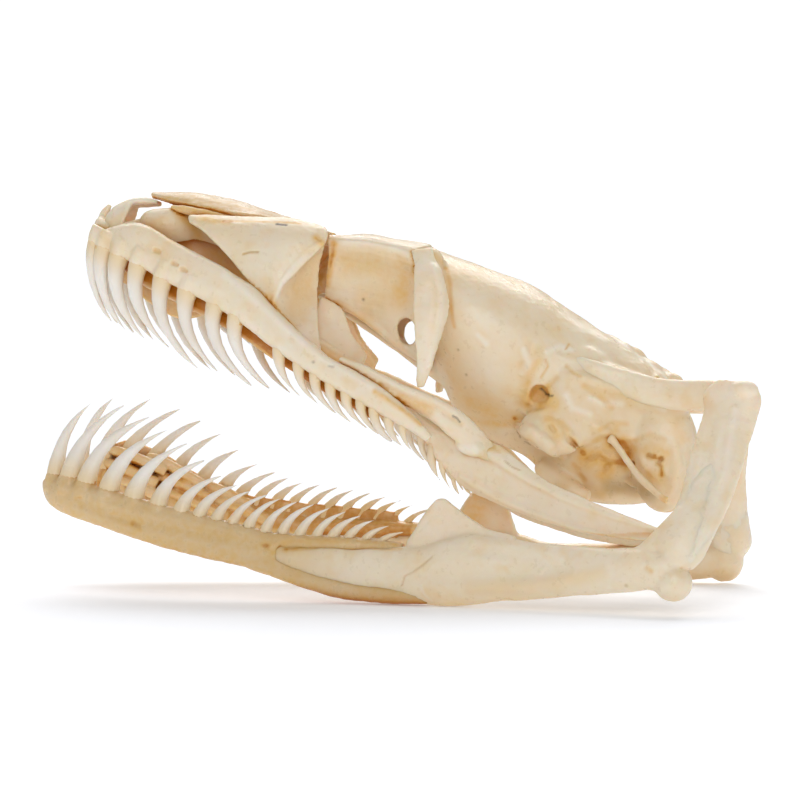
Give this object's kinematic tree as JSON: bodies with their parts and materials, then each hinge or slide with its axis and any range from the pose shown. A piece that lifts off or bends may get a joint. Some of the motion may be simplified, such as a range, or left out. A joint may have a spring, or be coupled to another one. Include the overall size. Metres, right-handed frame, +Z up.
{
  "type": "python skull",
  "caption": "Dried skull of a large python with its mouth wide open and rows of long hooked teeth, standing on its two lower jaws.",
  "frame": {"origin": "centre of the bounding box at the plane the skull stands on", "axes": "+X from the snout to the back of the skull, +Y to the skull's right side, +Z up"},
  "size_m": [0.1174, 0.0562, 0.0648],
  "materials": {
    "bone_pale": "dry bone, waxy half gloss",
    "bone_warm": "dry bone, waxy half gloss, amber in the hollows"
  },
  "bodies": {
    "root": {"braincase": "bone_warm", "premaxilla": "bone_pale", "frontal_left": "bone_pale", "frontal_right": "bone_pale", "nasal_left": "bone_pale", "nasal_right": "bone_pale", "septomaxilla_left": "bone_pale", "septomaxilla_right": "bone_pale", "vomer_left": "bone_warm", "vomer_right": "bone_warm", "prefrontal_left": "bone_pale", "prefrontal_right": "bone_pale", "postorbital_left": "bone_pale", "postorbital_right": "bone_pale", "maxilla_left": "bone_pale", "maxilla_right": "bone_pale", "palatine_left": "bone_warm", "palatine_right": "bone_warm", "pterygoid_left": "bone_pale", "pterygoid_right": "bone_pale", "ectopterygoid_left": "bone_pale", "ectopterygoid_right": "bone_pale", "supratemporal_left": "bone_pale", "supratemporal_right": "bone_pale", "quadrate_left": "bone_pale", "quadrate_right": "bone_pale", "stapes_left": "bone_warm", "stapes_right": "bone_warm", "dentary_left": "bone_warm", "dentary_right": "bone_warm", "compound_left": "bone_pale", "compound_right": "bone_pale"}
  },
  "joints": []
}
